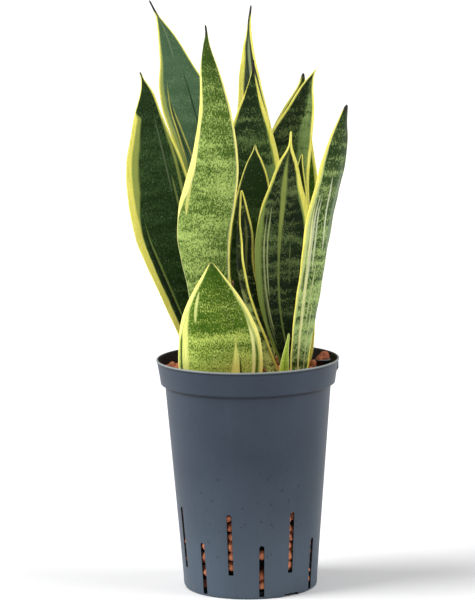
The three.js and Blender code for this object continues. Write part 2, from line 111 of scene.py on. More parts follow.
class Look:
    """A material's nodes, with short calls for the kinds that the looks here are made of."""

    def __init__(self, name):
        self.material = bpy.data.materials.new(name)
        self.material.use_nodes = True
        self.tree = self.material.node_tree
        self.shader = self.tree.nodes["Principled BSDF"]

    def node(self, kind, inputs, output=0, **settings):
        """A new node's output, with its inputs and output given by name or by number."""
        made = self.tree.nodes.new("ShaderNode" + kind)
        for key, value in settings.items():
            setattr(made, key, value)
        for key, value in inputs.items():
            self.put(made.inputs[key], value)
        return Value(self, made.outputs[output])

    def put(self, socket, value):
        if isinstance(value, Value):
            self.tree.links.new(value.socket, socket)
        else:
            socket.default_value = value

    def math(self, operation, *values):
        return self.node("Math", dict(enumerate(values)), operation=operation)

    def scaled(self, value, factor, offset):
        return self.math("MULTIPLY_ADD", value, factor, offset)

    def step(self, value, low, high):
        """0 where value is at low, 1 where it is at high, and smooth between them."""
        inputs = {"Value": value, "From Min": low, "From Max": high}
        return self.node("MapRange", inputs, "Result", interpolation_type="SMOOTHSTEP")

    def profile(self, value, points):
        """A quantity that runs in straight lines through [where, amount] points."""
        end = points[-1][0]
        top = max(amount for _, amount in points) or 1
        ramp = self.node("ValToRGB", {"Fac": value / end}, "Color")
        elements = ramp.socket.node.color_ramp.elements
        elements.remove(elements[1])
        elements[0].position = points[0][0] / end
        elements[0].color = (*[points[0][1] / top] * 3, 1)
        for where, amount in points[1:]:
            elements.new(where / end).color = (*[amount / top] * 3, 1)
        return ramp * top

    def vector(self, x, y, z):
        return self.node("CombineXYZ", {0: x, 1: y, 2: z})

    def parts(self, vector):
        first = self.node("SeparateXYZ", {0: vector})
        return [Value(self, output) for output in first.socket.node.outputs]

    def noise(self, vector, scale, detail, roughness=0.5):
        inputs = {"Vector": vector, "Scale": scale, "Detail": detail, "Roughness": roughness}
        return self.node("TexNoise", inputs, "Fac")

    def cells(self, vector, scale):
        return self.node("TexVoronoi", {"Vector": vector, "Scale": scale}, "Distance")

    def attribute(self, name):
        return self.node("Attribute", {}, "Fac", attribute_name=name)

    def place(self):
        return self.node("TexCoord", {}, "Object")

    def mix(self, factor, low, high, blend="MIX"):
        inputs = {0: factor, 6: low, 7: high}
        return self.node("Mix", inputs, 2, data_type="RGBA", blend_type=blend)

    def shade(self, colour, amount):
        """colour made lighter or darker by amount, where 1 leaves it as it is."""
        return self.mix(1, colour, amount, "MULTIPLY")

    def finish(self, colour, roughness, height, depth, specular):
        """Sets the shader: depth is how deep the bumps of height go, in millimetres."""
        inputs = {"Distance": depth * MM, "Strength": 1, "Height": height}
        self.put(self.shader.inputs["Base Color"], colour)
        self.put(self.shader.inputs["Roughness"], roughness)
        self.put(self.shader.inputs["Specular IOR Level"], specular)
        self.put(self.shader.inputs["Normal"], self.node("Bump", inputs))
        return self.material


# ---------- meshes


def add_piece(name, mesh, materials, replaced=()):
    """An object made of mesh that rides on the pot and stands for the CAD nodes named."""
    piece = bpy.data.objects.new(name, mesh)
    bpy.context.scene.collection.objects.link(piece)
    for material in materials:
        mesh.materials.append(material)
    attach(piece, BODY)
    if replaced:
        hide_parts(*replaced)
    return piece


def mesh_from(name, points, faces):
    """A smooth mesh from points in millimetres."""
    mesh = bpy.data.meshes.new(name)
    mesh.from_pydata((np.asarray(points, float) * MM).tolist(), [], faces)
    mesh.validate()
    mesh.shade_smooth()
    return mesh


def add_layer(mesh, name, values):
    """Gives the mesh's points a number each, for its material to read."""
    attribute = mesh.attributes.new(name, "FLOAT", "POINT")
    attribute.data.foreach_set("value", np.asarray(values, np.float32))


def tube_faces(rows, ring, start=0):
    """Faces of an open tube whose points come in rows of ring points."""
    faces = []
    for low in range(start, start + (rows - 1) * ring, ring):
        high = low + ring
        for k in range(ring):
            n = (k + 1) % ring
            faces.append([low + k, low + n, high + n, high + k])
    return faces


def closed_tube_faces(rows, ring, start=0):
    """The same tube's faces with its two ends closed."""
    last = start + (rows - 1) * ring
    ends = [list(range(start, start + ring))[::-1], list(range(last, last + ring))]
    return ends + tube_faces(rows, ring, start)


def around_pot(radius, angle, height):
    """A point at a radius and height, at an angle about the pot's axis from its front."""
    return (radius * math.sin(angle), -radius * math.cos(angle), height)


def turned(profile, segments):
    """Points and faces of a [radius, height] profile turned about the pot's axis.

    A profile that starts and ends on the axis makes a closed shape, and one that ends
    where it starts makes a ring.
    """
    points = []
    rows = []
    for radius, height in profile:
        if radius == 0:
            rows.append([len(points)] * segments)
            points.append((0, 0, height))
            continue
        rows.append(list(range(len(points), len(points) + segments)))
        for k in range(segments):
            points.append(around_pot(radius, 2 * math.pi * k / segments, height))
    faces = []
    for low, high in zip(rows, rows[1:]):
        for k in range(segments):
            n = (k + 1) % segments
            face = [low[k], low[n], high[n], high[k]]
            faces.append(list(dict.fromkeys(face)))
    return points, faces


def rounded(profile, corner, amount, steps):
    """profile with its corner, given by index, rounded by amount in a few steps."""
    before, at, after = (Vector(profile[corner + k]) for k in (-1, 0, 1))
    start = at + (before - at).normalized() * amount
    end = at + (after - at).normalized() * amount
    arc = []
    for k in range(steps + 1):
        t = k / steps
        arc.append(tuple(start * (1 - t) ** 2 + at * 2 * t * (1 - t) + end * t ** 2))
    return profile[:corner] + arc + profile[corner + 1:]


# ---------- leaf shapes

LEAF_BASE = 160
ROW_STEP = 2.0
TIP_ROWS = (0.2, 0.5, 0.9, 1.4, 2.2, 3.2)  # rows near the top, by their distance from it
TIP_TAPER = 1.3
COLUMNS = 28
NARROW = 5
MARGIN_THICKNESS = 1.0
WAVE_LENGTH = 9.5
RIPPLE_LENGTH = 4.1
LEVEL_GAP = 0.1
SAME_POINT = 0.05


def leaf_axes(angle):
    """Level unit vectors across a leaf, from its left to its right, and rearward."""
    across = np.array([math.cos(angle), math.sin(angle)])
    return across, np.array([-across[1], across[0]])


def leaf_rings(node):
    """The CAD leaf's level sections from its base up, each an array of ten points in mm."""
    points = np.array([vertex.co for vertex in frame["nodes"][node].data.vertices]) / MM
    points = points[np.argsort(points[:, 2])]
    levels = np.split(points, np.where(np.diff(points[:, 2]) > LEVEL_GAP)[0] + 1)
    rings = []
    for level in levels:
        kept = []
        for point in level:
            if all(np.linalg.norm(point - other) > SAME_POINT for other in kept):
                kept.append(point)
        rings.append(np.array(kept))
    return rings


def leaf_sections(node):
    """Each section's height, middle, direction, width and thickness, then the channel.

    The middle is halfway between the margins, and the direction runs from the left margin
    to the right one. The channel is its depth as a share of the width and its sharpness.
    """
    rows = []
    across = None
    widest = None
    for ring in leaf_rings(node):
        flat = ring[:, :2]
        if across is None:
            gaps = flat[:, None] - flat[None]
            first, second = divmod(int(np.argmax((gaps ** 2).sum(2))), len(flat))
            across = flat[first] - flat[second]
            across *= np.sign(across.sum()) / np.linalg.norm(across)
        flat = flat[np.argsort(flat @ across)]
        left, right = flat[:2].mean(0), flat[-2:].mean(0)
        width = np.linalg.norm(right - left)
        across = (right - left) / width
        rearward = np.array([-across[1], across[0]])
        middle = (left + right) / 2
        thickness = np.linalg.norm(flat[4] - flat[5])
        if width < NARROW:
            thickness = min(rows[-1][5], MARGIN_THICKNESS + 0.2 * width)
        elif widest is None or width > widest[0]:
            deep = (flat[4:6].mean(0) - middle) @ rearward
            half_way = (flat[2:4].mean(0) - middle) @ rearward
            widest = (width, deep / width, half_way / deep if abs(deep) > 0.01 else 0.75)
        turn = math.atan2(across[1], across[0])
        rows.append([ring[0, 2], *middle, turn, width, thickness])
    fold = math.log(max(1 - widest[2], 0.05)) / math.log(0.5)
    return np.array(rows), widest[1], fold


def smooth_through(where, values, at):
    """Rows of values at new places, on a smooth curve through the rows given."""
    slope = np.gradient(values, where, axis=0)
    slope[1:-1] = (values[2:] - values[:-2]) / (where[2:] - where[:-2])[:, None]
    i = np.clip(np.searchsorted(where, at, side="right") - 1, 0, len(where) - 2)
    span = (where[i + 1] - where[i])[:, None]
    t = (at - where[i])[:, None] / span
    return (
        (2 * t ** 3 - 3 * t ** 2 + 1) * values[i]
        + (t ** 3 - 2 * t ** 2 + t) * span * slope[i]
        + (3 * t ** 2 - 2 * t ** 3) * values[i + 1]
        + (t ** 3 - t ** 2) * span * slope[i + 1]
    )


def section_at(node, height):
    """The leaf's middle, direction, width and thickness at a height, and its channel."""
    rows, cup, fold = leaf_sections(node)
    return smooth_through(rows[:, 0], rows[:, 1:], np.array([height]))[0], cup, fold


def leaf_surface(node, looks, seed):
    """A smooth leaf through the CAD one's sections: points, sides, heights and widths.

    Each row runs along the front face from the left margin to the right one, and returns
    along the back face. In looks, wave is how far the margins sway forward and back,
    taller is how far the dried point stands above the CAD leaf's top, and moved is how
    far the left margin and the right one stand to the right of the CAD leaf's, in mm.
    """
    moved = np.array(looks["moved"])
    rows, cup, fold = leaf_sections(node)
    foot, top = rows[0, 0], rows[-1, 0]
    steps = int((top - TIP_ROWS[-1] - foot) / ROW_STEP)
    heights = np.linspace(foot, top - TIP_ROWS[-1], steps)
    heights = np.append(heights, [top - rest for rest in reversed(TIP_ROWS)] + [top])
    heights = np.unique(heights)
    found = smooth_through(rows[:, 0], rows[:, 1:], heights)
    turn = np.sin(np.linspace(-1, 1, COLUMNS) * math.pi / 2)
    around = np.concatenate([turn, turn[-2:0:-1]])
    face = np.concatenate([np.zeros(COLUMNS), np.ones(COLUMNS - 2)])
    points = []
    halves = []
    for height, (x, y, angle, width, thick) in zip(heights, found):
        point_share = min(1, (top - height) / TIP_TAPER + 0.1) ** 0.6
        left, right = (np.interp(height - LEAF_BASE, moved[:, 0], moved[:, k]) for k in (1, 2))
        across, rearward = leaf_axes(angle)
        middle = np.array([x, y]) + (left + right) / 2 * across
        width = (width + right - left) * point_share
        share = (height - foot) / (top - foot)
        sway = looks["wave"] * min(1, 4 * share) * min(1, width / 12)
        side = np.where(around < 0, seed, seed + 2)
        ripple = sway * np.abs(around) ** 3 * np.sin(height / WAVE_LENGTH + side)
        ripple += 0.5 * sway * np.abs(around) ** 5 * np.sin(height / RIPPLE_LENGTH + 2 * side)
        deep = cup * width * (1 - np.abs(around) ** fold) + ripple
        slope = -cup * 2 * fold * np.sign(around) * np.maximum(np.abs(around), 0.15) ** (fold - 1)
        margin = min(MARGIN_THICKNESS, 0.7 * width)
        half = (margin + (max(thick * point_share, margin) - margin) * (1 - around ** 2)) / 2
        inset = (1 - np.abs(around)) * width / 2 / (margin / 2)
        half = half * np.sqrt(np.clip(1 - (1 - np.minimum(inset, 1)) ** 2, 0, 1))
        sign = np.where(face == 0, -1, 1)
        normal = np.outer(np.ones_like(slope), rearward) - np.outer(slope, across)
        normal /= np.linalg.norm(normal, axis=1)[:, None]
        flat = (
            middle
            + np.outer(around * width / 2, across)
            + np.outer(deep, rearward)
            + normal * (half * sign)[:, None]
        )
        height += looks["taller"] * share ** 3
        points.append(np.column_stack([flat, np.full(len(flat), height)]))
        halves.append(np.full(len(flat), width / 2))
    return np.array(points), around, face, heights, np.array(halves)


def leaf_mesh(node, looks, seed):
    """The leaf's mesh, with what its material reads: across, along, half_width, face."""
    points, around, face, heights, halves = leaf_surface(node, looks, seed)
    rows, ring = points.shape[:2]
    faces = tube_faces(rows, ring)
    last = (rows - 1) * ring
    for k in range(COLUMNS - 1):
        back, next_back = (ring - k) % ring, ring - k - 1
        faces.append(tuple(dict.fromkeys((k, back, next_back, k + 1))))
        faces.append(tuple(dict.fromkeys((last + k, last + k + 1, last + next_back, last + back))))
    mesh = mesh_from(node, points.reshape(-1, 3), faces)
    layers = {
        "across": np.tile(around, rows),
        "along": np.repeat(heights - LEAF_BASE, ring),
        "half_width": halves.reshape(-1),
        "face": np.tile(face, rows),
    }
    for name, values in layers.items():
        add_layer(mesh, name, values)
    unwrap_leaf(mesh, layers, ring, heights)
    return mesh


def unwrap_leaf(mesh, layers, ring, heights):
    """Lays the front face and the back face side by side as two upright strips."""
    layer = mesh.uv_layers.new(name="OFBake")
    span = heights[-1] - heights[0]
    rim = 0.02
    for polygon in mesh.polygons:
        is_front = max(vertex % ring for vertex in polygon.vertices) < COLUMNS
        for i, vertex in zip(polygon.loop_indices, polygon.vertices):
            u = rim + (0.5 - 2 * rim) * (layers["across"][vertex] + 1) / 2
            v = rim + (1 - 2 * rim) * (layers["along"][vertex] + LEAF_BASE - heights[0]) / span
            layer.data[i].uv = (u if is_front else u + 0.5, v)


# ---------- leaf looks

TIP_BROWN = rgb(44, 42, 34)
YELLOW = rgb(248, 236, 76)
PALE_YELLOW = rgb(255, 250, 150)
DEEP_YELLOW = rgb(206, 196, 52)
SPECK_WHITE = rgb(214, 220, 200)
LEAF_GLOSS = 0.12
RIB_DEPTH = 0.35


def stripe(look, across, along, half_width, fray, line):
    """Where a lengthwise stripe is: line gives its heights, places across and widths."""
    start, end, from_across, to_across, *widths = line
    t = (along - start) / (end - start)
    inside = look.step(t, -0.02, 0.06) * look.step(t, 1.02, 0.8)
    t = look.math("MINIMUM", look.math("MAXIMUM", t, 0), 1)
    middle = t * (to_across - from_across) + from_across
    width = t * (widths[-1] - widths[0]) + widths[0]
    away = abs(across - middle) * half_width + fray * width * 0.7
    reach = look.step(t, 1.05, 0.6) * look.step(t, -0.1, 0.25) * width / 2
    soft = width * 0.16 + 0.2
    return look.step(away - reach, soft, soft * -1) * inside


def leaf_material(name, looks):
    """Green mottling between yellow margins, with stripes, ribs and a dried tip."""
    look = Look(name)
    across = look.attribute("across")
    along = look.attribute("along")
    half_width = look.attribute("half_width")
    face = look.attribute("face")
    x = across * half_width
    depth = face * 40 + looks["seed"]
    dark, light, tint, inner_tint = (rgb(*looks[k]) for k in ("dark", "light", "tint", "inner"))

    def texture(finer_across, finer_along, detail, roughness=0.5, up=along):
        """Noise on the leaf's face, whose features are 1 / finer mm across and along."""
        where = look.vector(x * finer_across, up * finer_along, depth)
        return look.noise(where, 1, detail, roughness)

    zigzag = texture(0.42, 0.03, 2) * 9
    bands = texture(0.03, 0.13, 2.5, 0.6, along + zigzag)
    flecks = texture(1.05, 0.56, 4, 0.75)
    grain = texture(3.4, 1.7, 2, 0.6)
    threads = texture(2.6, 0.035, 3, 0.6)
    fray = threads + flecks * 0.6 - 0.8
    pale_lit_patch = 0.0
    for line in looks["pale_lit_patches"]:
        pale_lit_patch = pale_lit_patch + stripe(look, across, along, half_width, fray, line)
    mottle = flecks + (grain - 0.5) * 0.34 + (bands - 0.5) * looks["bands"]
    share = look.profile(along + zigzag * 0.7 - 3, looks["light_share"])
    level = 0.66 - share * 0.34 - pale_lit_patch * 0.15
    lit = look.step(mottle, level - 0.05, level + 0.05)
    glow = look.step(mottle, level + 0.03, level + 0.2)
    colour = look.mix(lit * 0.55 + glow * 0.45, dark, light)
    spread = look.step(texture(0.1, 0.02, 2), 0.35, 0.7)
    colour = look.mix(spread * looks["spread"], colour, tint)
    colour = look.shade(colour, look.scaled(threads, 0.6, 0.7))
    colour = look.shade(colour, look.scaled(grain, 0.8, 0.6))
    dusk = look.step(along, looks["tip"] - 70, looks["tip"] - 12) * looks["dusk"]
    # Painted light: the patches brighten the colour by up to half.
    colour = look.shade(colour, 1 + pale_lit_patch * 0.5 - dusk)

    for *line, stripe_colour in looks["stripes"]:
        mask = stripe(look, across, along, half_width, fray, line)
        streaked = look.shade(rgb(*stripe_colour), threads * 0.5 + flecks * 0.5 + 0.5)
        colour = look.mix(mask * look.step(threads, 0.15, 0.5), colour, streaked)

    sway = look.noise(look.vector(along * 0.045, depth, across * 0.6), 1, 2) - 0.5
    frays = texture(1.4, 0.05, 3) - 0.5
    chalky = look.step(flecks, 0.35, 0.65) + looks["chalky"]
    edge_yellow = look.mix(chalky, YELLOW, PALE_YELLOW)
    edge_yellow = look.mix(look.step(threads, 0.5, 0.75), edge_yellow, DEEP_YELLOW)
    for side, margins in ((1, looks["left"]), (-1, looks["right"])):
        inner = look.profile(along, [[at, pale] for at, _, pale in margins])
        outer = look.profile(along, [[at, yellow] for at, yellow, _ in margins])
        ragged = look.step(outer, 0.2, 3)
        reach = half_width + x * side + (sway * 1.8 + frays * 1.4) * ragged
        blend = (inner - outer) * 0.22 + 0.3
        pale = look.step(reach - inner + fray * blend, blend, blend * -1)
        inner_green = look.shade(inner_tint, threads * 0.6 + flecks * 0.5 + 0.45)
        colour = look.mix(pale, colour, inner_green)
        soft = ragged * 0.5 + 0.35
        yellow = look.step(reach - outer, soft, soft * -1)
        colour = look.mix(yellow, colour, edge_yellow)

    tip = look.step(along + flecks * 6 + x * looks["tip_lean"], looks["tip"] - 3, looks["tip"] + 4)
    colour = look.mix(tip, colour, TIP_BROWN)
    specks = look.step(look.cells(look.vector(x, along, depth), 0.34), 0.13, 0.06)
    colour = look.mix(specks * 0.4, colour, SPECK_WHITE)

    ribs = threads * 0.6 + flecks * 0.25 + grain * 0.1
    roughness = look.scaled(flecks, 0.22, 0.3)
    return look.finish(colour, roughness, ribs, RIB_DEPTH, LEAF_GLOSS)


PLAIN_LEAF = dict(
    spread=0.3, tip_lean=0, dusk=0.15, chalky=0.0, taller=0, moved=[[0, 0, 0]], pale_lit_patches=[],
    stripes=[],
)
DARK_LEAF = dict(
    PLAIN_LEAF, slot="leaf_dark", dark=(10, 28, 2), light=(98, 124, 62), tint=(30, 52, 16),
)
GREY_LEAF = dict(
    PLAIN_LEAF, slot="leaf_grey_green", dark=(74, 104, 72), light=(120, 150, 110),
    tint=(90, 120, 86),
)
LIGHT_LEAF = dict(
    PLAIN_LEAF, slot="leaf_light", dark=(62, 90, 22), light=(186, 210, 114),
    tint=(104, 130, 52),
)
OLIVE = (138, 150, 74)
PALE = (176, 186, 126)
CHALK = (208, 214, 176)
LEMON = (214, 208, 96)
SHADE = (20, 30, 16)

# Each leaf's look. Places along a leaf are in mm above its base, and places across run
# from -1 at the left margin to 1 at the right one.
#   left, right   the margins: where, width of the yellow edge, and width of that edge with
#                 the paler green inside it
#   stripes       start, end, place across at each, width (at each, if two), then colour
#   pale_lit_patches  the same without a colour: where the mottling is lighter and painted light
#   brightens the colour
#   light_share   where, and how much of the face the light mottling covers
#   moved         where, and how far the left and the right margin stand further right
LEAF_LOOKS = {}
LEAF_LOOKS["leaf_front"] = dict(
    LIGHT_LEAF, bands=0.3, wave=0.5, tip=117, chalky=0.4, dark=(56, 90, 2), light=(212, 230, 112),
    tint=(96, 130, 24), inner=(176, 192, 104),
    light_share=[
        [0, 0.72], [30, 0.7], [42, 0.58], [47, 0.34], [53, 0.68], [60, 0.36], [66, 0.22], [74, 0.3],
        [81, 0.4], [90, 0.26], [103, 0.14], [120, 0.08],
    ],
    left=[[0, 1, 1.2], [50, 1, 1.4], [72, 3.4, 4.4], [100, 2.4, 3.2], [116, 0.6, 0.6]],
    right=[[0, 2.4, 3.2], [40, 3, 4], [66, 3.6, 6], [100, 1.6, 2.2], [116, 0.6, 0.6]],
    stripes=[
        (8, 92, -0.82, -0.88, 7.4, 4, (222, 226, 124)), (14, 66, -0.9, -0.93, 1.6, (58, 84, 20)),
        (4, 78, 0.73, 0.84, 2.4, 3, (240, 242, 156)), (8, 66, 0.81, 0.9, 2.6, 1.6, (76, 104, 28)),
        (66, 94, -0.58, -0.7, 2.2, (200, 208, 122)), (-14, 58, 0.28, 0.39, 13, 2, (234, 238, 128)),
        (0, 44, 0.48, 0.44, 2, 1.4, (44, 70, 8)),
    ],
)
LEAF_LOOKS["leaf_centre_left"] = dict(
    LIGHT_LEAF, bands=0.44, wave=0.9, spread=0.2, tip=299, tip_lean=-0.3, dusk=0.32, chalky=0.5,
    inner=(170, 178, 122),
    moved=[[220, 0, 0], [240, 0, -0.3], [264, -1.5, -0.5], [290, -1.4, -0.5], [305, 0, 0]],
    light_share=[[0, 0.44], [110, 0.5], [160, 0.5], [200, 0.46], [240, 0.38], [262, 0.24], [305, 0.1]],
    left=[
        [0, 0.1, 0.7], [120, 0.2, 0.7], [148, 0.6, 1], [160, 3, 3.4], [172, 5.6, 6.2], [186, 5.4, 6],
        [206, 3.6, 4], [262, 1.8, 2], [280, 0.2, 0.2], [305, 0.1, 0.1],
    ],
    right=[
        [0, 0.8, 1.4], [140, 1, 1.8], [200, 1.6, 2.2], [262, 1, 1.2], [284, 0.4, 0.5], [305, 0.1, 0.1],
    ],
    stripes=[
        (150, 186, -0.66, -0.78, 2.6, (206, 204, 110)), (150, 180, -0.82, -0.86, 1.2, (104, 126, 46)),
        (70, 150, 0.62, 0.6, 1, (84, 108, 44)),
    ],
)
LEAF_LOOKS["leaf_right"] = dict(
    LIGHT_LEAF, bands=0.7, wave=0.5, spread=0.25, tip=237, tip_lean=0.5, dusk=0.35, dark=(42, 68, 22),
    light=(172, 196, 116), tint=(88, 112, 56), inner=(194, 206, 132),
    moved=[[110, 0, 0], [150, -0.5, -0.3], [190, -1.4, -0.6], [225, -1.3, -1], [241, -0.8, -0.8]],
    light_share=[[0, 0.66], [80, 0.6], [140, 0.52], [180, 0.28], [241, 0.06]],
    left=[
        [0, 0.6, 0.8], [60, 0.7, 1.4], [130, 1.4, 3.4], [180, 2.4, 3.6], [215, 1.6, 1.8],
        [241, 0.2, 0.2],
    ],
    right=[[0, 0, 0.1], [60, 0, 0.1], [150, 0.4, 0.6], [241, 0.3, 0.3]],
    stripes=[
        (14, 178, -0.3, -0.72, 1.7, 2.2, (226, 228, 158)),
        (-8, 56, 0.72, 0.88, 2.2, 1.6, (255, 248, 96)), (96, 176, -0.44, -0.56, 1.2, CHALK),
        (104, 172, -0.22, -0.42, 1, CHALK), (120, 190, 0.36, -0.12, 1.3, CHALK),
        # The grey-green band near the right margin, from 118 to 200 mm, is a painted sheen.
        (60, 120, -0.1, 0, 0.9, PALE), (118, 200, 0.78, 0.6, 3.4, (118, 134, 104)),
        (8, 90, 0.16, 0.2, 0.9, PALE),
    ],
)
# The sprout's colours are made brighter than its own pale green: painted light, as it stands in the
# shade of the leaves around it.
LEAF_LOOKS["leaf_sprout"] = dict(
    LIGHT_LEAF, bands=0.1, wave=0.2, tip=60, dark=(156, 186, 46), light=(206, 228, 112),
    tint=(176, 200, 78), inner=(206, 218, 140),
    light_share=[[0, 0.5], [57, 0.4]],
    left=[[0, 0.3, 0.9], [57, 0.2, 0.4]],
    right=[[0, 0.3, 0.9], [57, 0.2, 0.4]],
    stripes=[(0, 50, 0, 0, 0.8, (122, 146, 44))],
)
LEAF_LOOKS["leaf_far_left"] = dict(
    DARK_LEAF, bands=0.4, wave=0.8, spread=0.4, tip=264, dark=(21, 43, 8), light=(72, 100, 54),
    tint=(38, 62, 26), inner=(156, 168, 82),
    moved=[[130, 0, 0], [170, -0.1, 0.7], [190, -1.1, 0.9], [235, -0.9, 0.7], [264, -0.3, -0.3]],
    light_share=[[0, 0.1], [60, 0.3], [140, 0.4], [200, 0.5], [264, 0.4]],
    left=[
        [0, 3.4, 3.6], [60, 4.6, 4.8], [110, 5.6, 6], [140, 6.4, 7.4], [165, 5.2, 11],
        [200, 4.4, 10.4], [226, 3, 6], [231, 0.3, 0.5], [264, 0.2, 0.2],
    ],
    right=[[0, 1.5, 2], [120, 2, 2.6], [190, 1.5, 2.4], [250, 1, 1.4], [264, 0.2, 0.2]],
    stripes=[
        (58, 138, -0.62, -0.66, 2.6, SHADE), (54, 150, -0.5, -0.62, 1.7, (112, 130, 60)),
        (150, 246, 0.66, 0.94, 2.2, OLIVE), (162, 236, 0.4, 0.44, 1.3, (86, 102, 72)),
        (150, 182, 0.5, 0.52, 1.6, (118, 132, 70)),
    ],
)
LEAF_LOOKS["leaf_small_centre"] = dict(
    DARK_LEAF, bands=0.9, wave=0.4, tip=206, dark=(34, 58, 18), light=(92, 116, 62),
    inner=(128, 140, 74),
    light_share=[[0, 0.4], [140, 0.4], [165, 0.22], [204, 0.1]],
    left=[[0, 0.6, 1.2], [170, 0.4, 1.2], [204, 0.2, 0.6]],
    right=[[0, 0.4, 1], [150, 0.5, 1], [176, 1.1, 1.4], [196, 1.3, 1.5], [204, 0.8, 0.9]],
    stripes=[(199, 208, 0.2, 0.3, 1.2, 1.8, (232, 234, 214))],
)
LEAF_LOOKS["leaf_centre"] = dict(
    DARK_LEAF, bands=0.95, wave=0.6, tip=264, tip_lean=1.4, dark=(29, 50, 18), light=(122, 148, 84),
    tint=(48, 70, 36), inner=(128, 150, 66),
    light_share=[[0, 0.5], [200, 0.5], [225, 0.34], [245, 0.16], [273, 0]],
    left=[[0, 1.6, 2], [215, 1.8, 2.2], [240, 1.2, 1.4], [248, 0.2, 0.2], [273, 0.1, 0.1]],
    right=[
        [0, 3, 4], [190, 3.6, 5.4], [230, 2.8, 3.2], [252, 1.2, 1.4], [262, 0.4, 0.4], [273, 0.1, 0.1],
    ],
    stripes=[(196, 250, 0.62, 0.7, 1.4, (48, 66, 26))],
)
LEAF_LOOKS["leaf_centre_right"] = dict(
    DARK_LEAF, bands=0.9, wave=0.5, spread=0.25, tip=222, light=(112, 132, 76), inner=(136, 156, 78),
    light_share=[[0, 0.12], [60, 0.2], [95, 0.36], [130, 0.46], [170, 0.42], [218, 0.1]],
    left=[
        [0, 0, 1], [60, 0, 2.4], [90, 0.1, 5], [136, 0.2, 5.2], [160, 1.5, 2.6], [190, 2, 2.4],
        [218, 0.6, 0.6],
    ],
    right=[
        [0, 0.5, 0.6], [118, 0.6, 0.8], [140, 2.4, 3.4], [158, 4.6, 6.4], [180, 2.6, 3], [200, 2, 2.2],
        [218, 0.6, 0.6],
    ],
    stripes=[
        (96, 206, -0.06, -0.1, 1, 6.4, (150, 164, 80)),
        (16, 150, -0.07, -0.07, 1.3, 2, (122, 138, 72)), (50, 158, -0.6, -0.68, 1.4, PALE),
        (80, 164, -0.5, -0.55, 1.1, PALE), (40, 120, -0.72, -0.64, 1, (116, 132, 80)),
        (90, 132, 0.38, 0.34, 1.1, (86, 104, 60)), (150, 196, 0.84, 0.72, 0.9, SHADE),
    ],
)
LEAF_LOOKS["leaf_clasping"] = dict(
    DARK_LEAF, bands=0.9, wave=0.3, spread=0.4, tip=175, dark=(26, 42, 12), light=(196, 212, 120),
    tint=(38, 54, 26), inner=(140, 154, 80),
    light_share=[[0, 0.4], [50, 0.36], [80, 0.2], [110, 0.02], [171, 0]],
    left=[[0, 0.6, 0.8], [60, 0.8, 1], [171, 0.8, 0.8]],
    right=[[0, 0, 0.1], [84, 0, 0.1], [110, 0.7, 0.9], [171, 0.6, 0.6]],
    pale_lit_patches=[(-14, 104, -0.1, -0.6, 16, 6)],
    stripes=[
        (100, 152, 0.66, 0.68, 1.4, (112, 120, 62)), (6, 164, 0.86, -0.3, 4.8, 2.6, (255, 252, 110)),
    ],
)
LEAF_LOOKS["leaf_hidden_right"] = dict(
    DARK_LEAF, bands=0.5, wave=0.3, tip=200, inner=(118, 130, 70),
    light_share=[[0, 0.3], [196, 0.2]],
    left=[[0, 0.8, 1], [196, 0.3, 0.4]],
    right=[[0, 0.8, 1], [196, 0.5, 0.6]],
)
LEAF_LOOKS["leaf_back_left"] = dict(
    GREY_LEAF, bands=0.4, wave=0.7, taller=3, spread=0.5, tip=309, tip_lean=0.8, inner=(168, 180, 98),
    moved=[
        [0, 0, 0], [90, 0, 0], [150, -3.6, -0.4], [200, -2.8, -0.6], [237, -1.6, -0.6],
        [270, -1, -0.6], [300, -0.8, -0.8], [318, -1, -1],
    ],
    light_share=[[0, 0.2], [200, 0.34], [318, 0.3]],
    left=[[0, 1.2, 3], [190, 1.6, 4.6], [240, 1.2, 4.4], [285, 0.8, 1.4], [318, 0.5, 0.5]],
    right=[[0, 0.8, 1], [230, 1, 1.4], [300, 0.8, 1], [318, 0.4, 0.4]],
    stripes=[
        (190, 270, 0.1, 0.28, 1.2, (44, 62, 42)), (270, 306, -0.06, 0.1, 1.2, (112, 132, 98)),
        (184, 256, -0.8, -0.62, 1.3, LEMON), (186, 236, -0.52, -0.58, 1.1, LEMON),
        (186, 246, -0.66, -0.64, 1.4, (44, 62, 36)), (150, 200, -0.3, -0.34, 1.2, (44, 62, 36)),
    ],
)
LEAF_LOOKS["leaf_back_centre"] = dict(
    GREY_LEAF, bands=0.3, wave=0.6, taller=3.4, tip=303, tip_lean=-3, dark=(50, 62, 46),
    light=(86, 100, 72), inner=(120, 134, 70),
    moved=[
        [150, 0, 0], [200, -3, 0], [222, -2, 0], [236, -0.6, 0], [268, -0.4, -0.3], [292, -1.1, -0.7],
        [312, -0.5, -0.6],
    ],
    light_share=[[0, 0.4], [200, 0.3], [312, 0.2]],
    left=[[0, 3, 4], [220, 4.8, 5.4], [262, 4, 4.4], [290, 0.6, 0.8], [312, 0.2, 0.2]],
    right=[[0, 1.2, 2], [240, 1, 1.4], [290, 1.4, 1.6], [300, 0.6, 0.6], [312, 0.2, 0.2]],
    stripes=[(236, 292, 0.2, 0.1, 2.6, (140, 152, 108)), (200, 290, 0.5, 0.5, 1.4, (40, 52, 36))],
)
LEAF_LOOKS["leaf_back_right"] = dict(
    DARK_LEAF, slot="leaf_grey_green", bands=0.9, wave=0.5, taller=5, tip=262, dark=(24, 42, 12),
    light=(108, 128, 72), tint=(44, 64, 28), inner=(140, 154, 80),
    moved=[[170, 0, 0], [200, 0, 0.8], [240, 0.3, 0.9], [259, 1, 0.6]],
    light_share=[[0, 0.42], [170, 0.4], [200, 0.32], [230, 0.18], [259, 0.1]],
    left=[[0, 1.6, 2], [200, 2.2, 2.6], [240, 1.4, 1.6], [259, 0.5, 0.5]],
    right=[[0, 1.6, 2.4], [190, 2, 3], [240, 1, 1.4], [259, 0.4, 0.4]],
    # This patch on the folded leaf's right half is painted light, where that half meets the light.
    pale_lit_patches=[(110, 262, 0.66, 0.74, 14, 11)],
)
